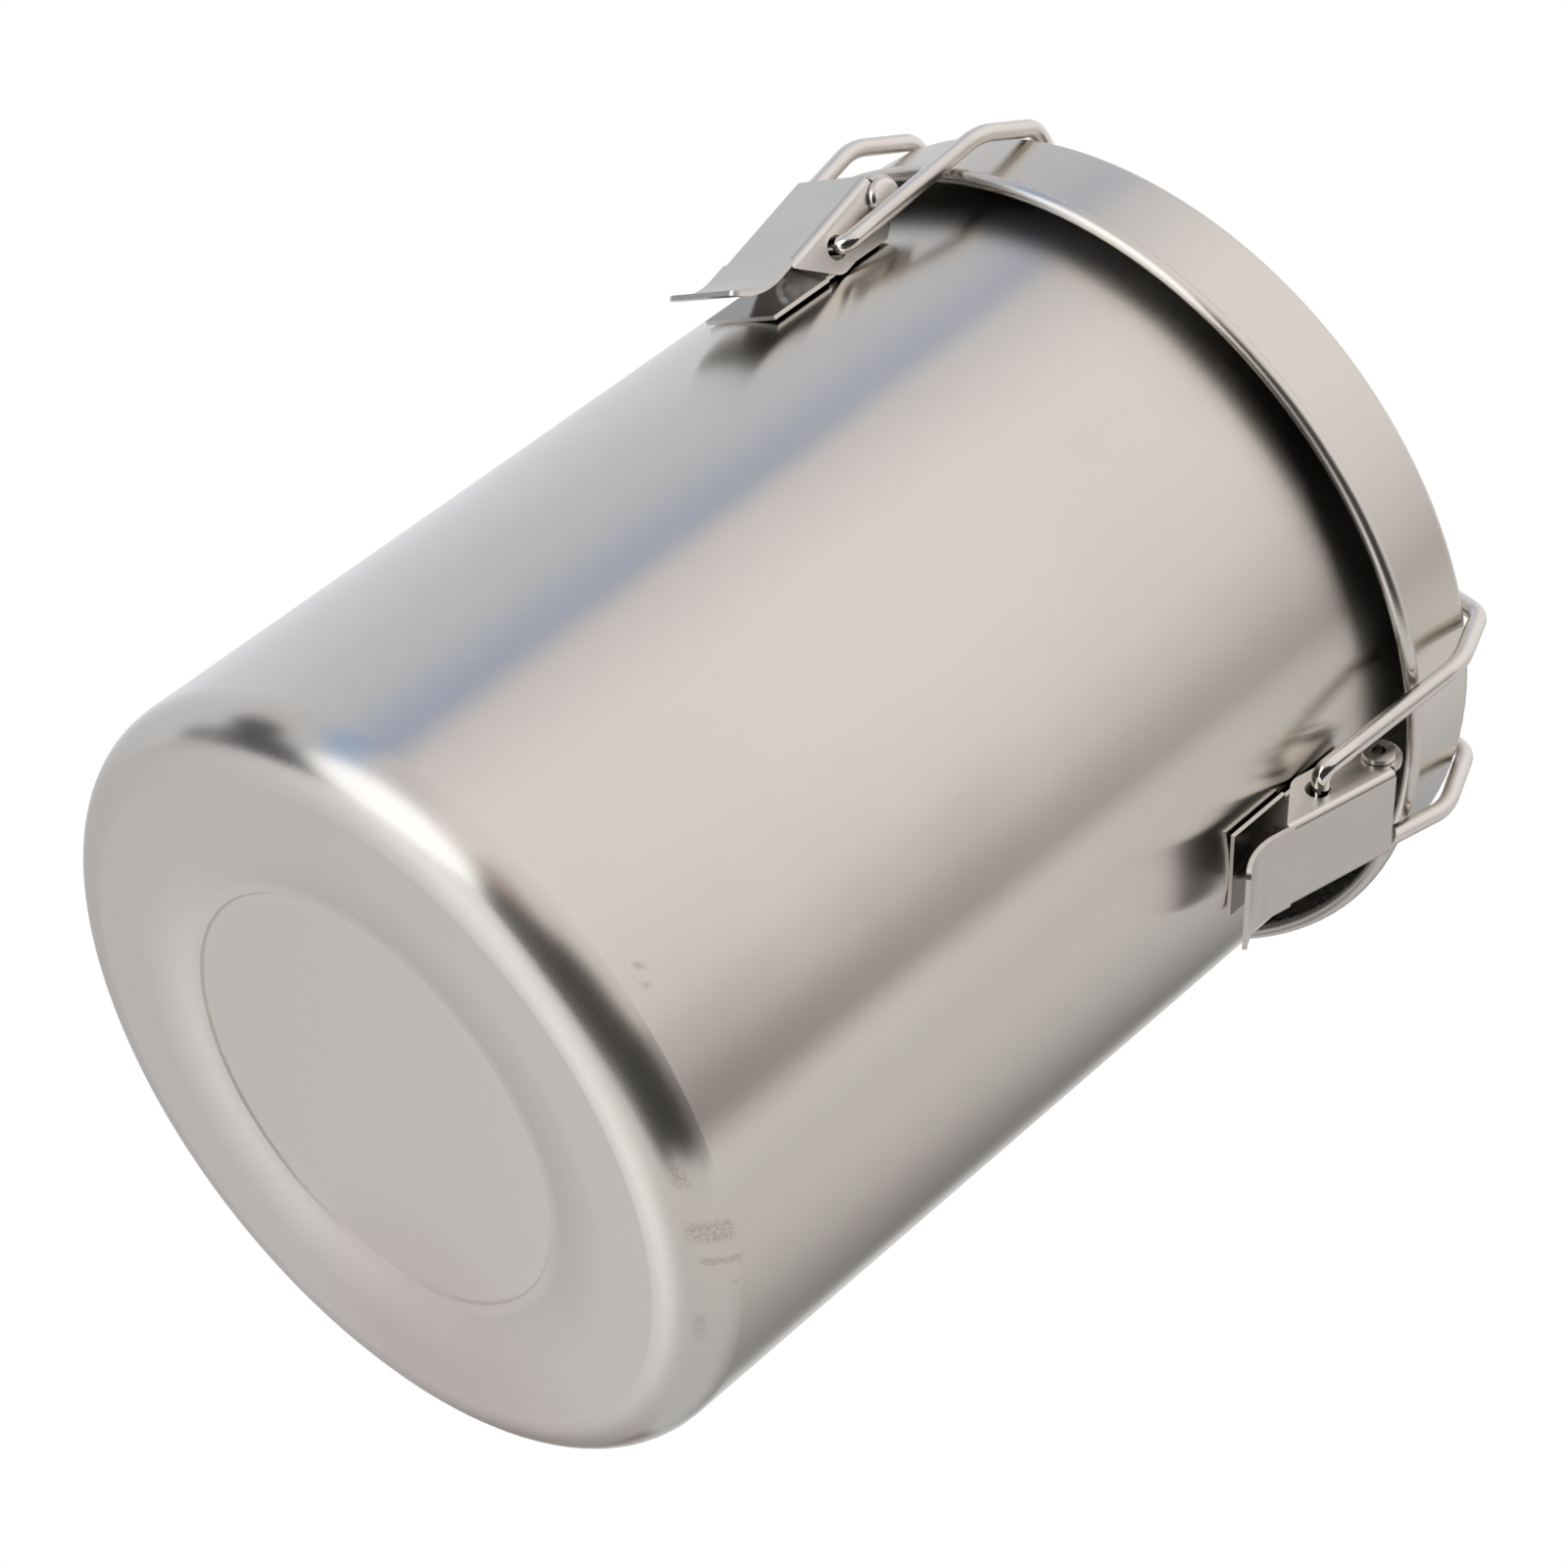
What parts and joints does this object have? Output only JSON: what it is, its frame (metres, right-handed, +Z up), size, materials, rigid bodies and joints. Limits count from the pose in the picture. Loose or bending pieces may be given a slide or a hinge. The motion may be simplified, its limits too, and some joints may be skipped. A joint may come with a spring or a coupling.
{
  "type": "milk can",
  "caption": "Stainless steel milk can with a sealed lid, drop handle, and toggle latches whose wire bails hook over the lid.",
  "frame": {"origin": "centre of the flat ring that the can stands on", "axes": "+Z up along the can's axis, -Y towards the front latch, +X to its right"},
  "size_m": [0.1878, 0.1925, 0.2382],
  "materials": {
    "satin_steel": "satin, drawn stainless steel",
    "bright_steel": "bright annealed stainless sheet",
    "bright_wire": "polished stainless wire",
    "silicone": "matt moulded silicone"
  },
  "bodies": {
    "can": {"can_body": "satin_steel", "latch_base_front": "bright_steel", "latch_pivot_rivet_front": "bright_steel", "latch_base_right": "bright_steel", "latch_pivot_rivet_right": "bright_steel", "latch_base_left": "bright_steel", "latch_pivot_rivet_left": "bright_steel"},
    "lid": {"lid_shell": "satin_steel", "lid_gasket": "silicone", "handle_saddle_left": "bright_steel", "handle_saddle_right": "bright_steel"},
    "handle": {"lid_handle": "bright_wire"},
    "lever_front": {"latch_lever_front": "bright_steel"},
    "bail_front": {"latch_bail_front": "bright_wire"},
    "lever_right": {"latch_lever_right": "bright_steel"},
    "bail_right": {"latch_bail_right": "bright_wire"},
    "lever_left": {"latch_lever_left": "bright_steel"},
    "bail_left": {"latch_bail_left": "bright_wire"}
  },
  "joints": [
    {"name": "lid_lift", "type": "slide", "parent": "can", "child": "lid", "axis": [0, 0, 1], "range_m": [0, 0.026]},
    {"name": "lever_front_swing", "type": "hinge", "parent": "can", "child": "lever_front", "pos_m": [0, -0.0932, 0.1931], "axis": [-1, 0, 0], "range_deg": [0, 100]},
    {"name": "bail_front_swing", "type": "hinge", "parent": "lever_front", "child": "bail_front", "pos_m": [0, -0.0902, 0.1779], "axis": [-1, 0, 0], "range_deg": [-250, 0]},
    {"name": "lever_right_swing", "type": "hinge", "parent": "can", "child": "lever_right", "pos_m": [0.08071, 0.0466, 0.1931], "axis": [0.5, -0.866, 0], "range_deg": [0, 100]},
    {"name": "bail_right_swing", "type": "hinge", "parent": "lever_right", "child": "bail_right", "pos_m": [0.07812, 0.0451, 0.1779], "axis": [0.5, -0.866, 0], "range_deg": [-250, 0]},
    {"name": "lever_left_swing", "type": "hinge", "parent": "can", "child": "lever_left", "pos_m": [-0.08071, 0.0466, 0.1931], "axis": [0.5, 0.866, 0], "range_deg": [0, 100]},
    {"name": "bail_left_swing", "type": "hinge", "parent": "lever_left", "child": "bail_left", "pos_m": [-0.07812, 0.0451, 0.1779], "axis": [0.5, 0.866, 0], "range_deg": [-250, 0]},
    {"name": "handle_swing", "type": "hinge", "parent": "lid", "child": "handle", "pos_m": [0, 0, 0.23492], "axis": [-1, 0, 0], "range_deg": [0, 180]}
  ],
  "couplings": [
    {"joint": "lever_front_swing", "follows": "lid_lift", "rad_per_m": 67.12},
    {"joint": "bail_front_swing", "follows": "lid_lift", "rad_per_m": -167.8},
    {"joint": "lever_right_swing", "follows": "lid_lift", "rad_per_m": 67.12},
    {"joint": "bail_right_swing", "follows": "lid_lift", "rad_per_m": -167.8},
    {"joint": "lever_left_swing", "follows": "lid_lift", "rad_per_m": 67.12},
    {"joint": "bail_left_swing", "follows": "lid_lift", "rad_per_m": -167.8}
  ]
}
